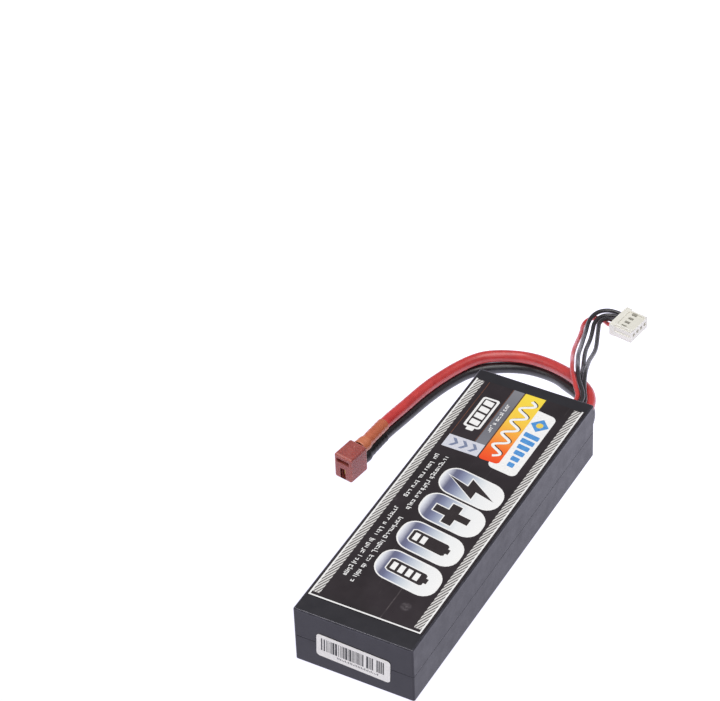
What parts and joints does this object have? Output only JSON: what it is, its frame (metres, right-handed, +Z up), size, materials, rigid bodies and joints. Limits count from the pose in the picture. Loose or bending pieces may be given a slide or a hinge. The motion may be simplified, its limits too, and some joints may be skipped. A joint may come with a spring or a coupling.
{
  "type": "lithium polymer battery pack",
  "caption": "Rectangular hard-case lithium polymer pack with red and black power leads ending in a blade-contact plug, and a thin balance lead ending in a flat ivory connector.",
  "frame": {"origin": "centre of the case's underside, on the surface that the pack stands on", "axes": "+Y along the case to the end where the leads come out, +X to the right of it, +Z up through the label"},
  "size_m": [0.0789, 0.2154, 0.0243],
  "materials": {
    "case_plastic": "fine satin texture",
    "label_film": "glossy printed film",
    "label_paper": "coated paper with printed bars",
    "pouch_foil": "crinkled laminate foil",
    "foam": "closed-cell foam",
    "tape": "amber polyimide film",
    "aluminium_tab": "bright strip",
    "nickel_tab": "nickel plated strip",
    "board": "green circuit laminate",
    "rubber": "matt black",
    "red_silicone": "soft satin silicone",
    "black_silicone": "soft satin silicone",
    "red_shrink": "shrunk tube, slightly glossy",
    "black_shrink": "shrunk tube",
    "plug_nylon": "slightly translucent maroon nylon",
    "ivory_nylon": "ivory nylon",
    "gold_contact": "gold plated",
    "tin_contact": "tin plated"
  },
  "bodies": {
    "root": {"lower_case": "case_plastic", "upper_case": "case_plastic", "top_label": "label_film", "barcode_label": "label_paper", "cell_1": "pouch_foil", "cell_2": "pouch_foil", "cell_3": "pouch_foil", "cell_1_positive_tab": "aluminium_tab", "cell_2_positive_tab": "aluminium_tab", "cell_3_positive_tab": "aluminium_tab", "cell_1_negative_tab": "nickel_tab", "cell_2_negative_tab": "nickel_tab", "cell_3_negative_tab": "nickel_tab", "cell_separator_1": "foam", "cell_separator_2": "foam", "front_foam_pad": "foam", "stack_tape_1": "tape", "stack_tape_2": "tape", "tab_board": "board", "outlet_grommet": "rubber", "main_lead_red": "red_silicone", "main_lead_black": "black_silicone", "balance_wire_1": "red_silicone", "balance_wire_2": "black_silicone", "balance_wire_3": "black_silicone", "balance_wire_4": "black_silicone", "heat_shrink_red": "red_shrink", "heat_shrink_black": "black_shrink", "power_plug_housing": "plug_nylon", "power_contact_positive": "gold_contact", "power_contact_negative": "gold_contact", "balance_plug_housing": "ivory_nylon", "balance_contact_1": "tin_contact", "balance_contact_2": "tin_contact", "balance_contact_3": "tin_contact", "balance_contact_4": "tin_contact"}
  },
  "joints": []
}
